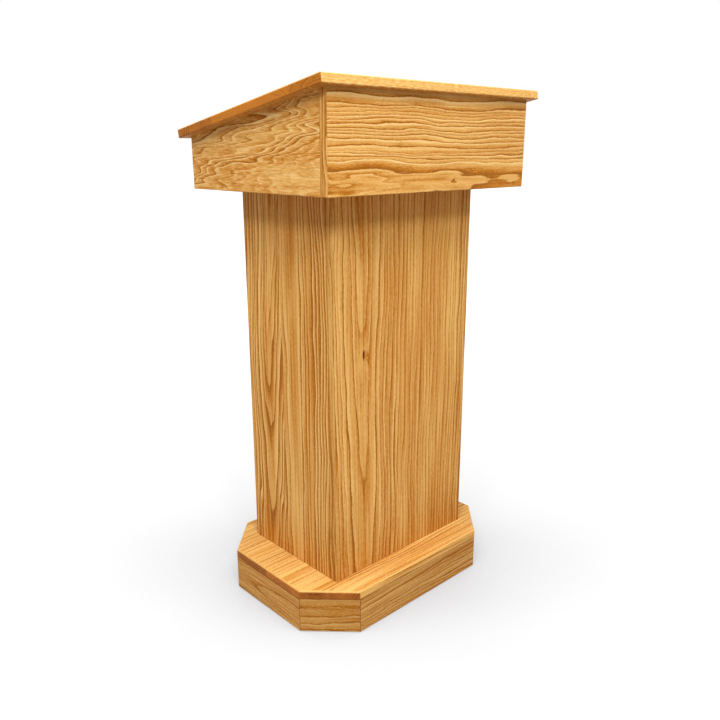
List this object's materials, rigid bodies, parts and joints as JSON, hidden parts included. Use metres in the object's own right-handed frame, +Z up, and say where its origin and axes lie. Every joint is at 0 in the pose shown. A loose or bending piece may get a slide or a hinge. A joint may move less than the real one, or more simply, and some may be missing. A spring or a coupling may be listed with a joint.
{
  "type": "lectern",
  "caption": "Floor lectern: a sloped reading board on a wide box head, an open-backed column with a shelf, and a low octagonal plinth.",
  "frame": {"origin": "on the floor, under the middle of the overall outline seen from above", "axes": "+Z up; -Y towards the audience, which the high edge of the reading board faces; +Y towards the speaker, at the low edge; +X to the right as the audience sees it"},
  "size_m": [0.646, 0.4854, 1.18],
  "materials": {
    "oak_board": "clear satin lacquer on solid oak",
    "oak_panel": "clear satin lacquer on oak veneer",
    "oak_plinth": "clear satin lacquer on solid oak",
    "inner_wood": "planed, without finish",
    "beech": "pressed or planed, without finish",
    "screw_steel": "zinc plated",
    "pin_steel": "nickel plated",
    "glide_nylon": "moulded nylon"
  },
  "bodies": {
    "root": {"reading_board": "oak_board", "book_stop": "oak_board", "stop_screws": "screw_steel", "board_cleat_left": "inner_wood", "board_cleat_right": "inner_wood", "board_cleat_front": "inner_wood", "board_screws": "screw_steel", "head_front": "oak_panel", "head_side_left": "oak_panel", "head_side_right": "oak_panel", "head_floor": "oak_panel", "head_biscuits": "beech", "column_front": "oak_panel", "column_side_left": "oak_panel", "column_side_right": "oak_panel", "column_rail_top": "oak_panel", "column_rail_bottom": "oak_panel", "column_biscuits": "beech", "rail_dowels": "beech", "column_shelf": "oak_panel", "shelf_pins": "pin_steel", "top_cleat_left": "inner_wood", "top_cleat_right": "inner_wood", "top_cleat_front": "inner_wood", "head_screws": "screw_steel", "foot_cleat_left": "inner_wood", "foot_cleat_right": "inner_wood", "foot_cleat_front": "inner_wood", "base_screws": "screw_steel", "base_board": "oak_plinth", "skirt_front": "oak_plinth", "skirt_front_right": "oak_plinth", "skirt_right": "oak_plinth", "skirt_back_right": "oak_plinth", "skirt_back": "oak_plinth", "skirt_back_left": "oak_plinth", "skirt_left": "oak_plinth", "skirt_front_left": "oak_plinth", "mitre_splines": "beech", "glue_blocks": "inner_wood", "corner_block_front_left": "inner_wood", "corner_block_front_right": "inner_wood", "corner_block_back_left": "inner_wood", "corner_block_back_right": "inner_wood", "glide_front_left": "glide_nylon", "glide_front_right": "glide_nylon", "glide_back_left": "glide_nylon", "glide_back_right": "glide_nylon"}
  },
  "joints": []
}
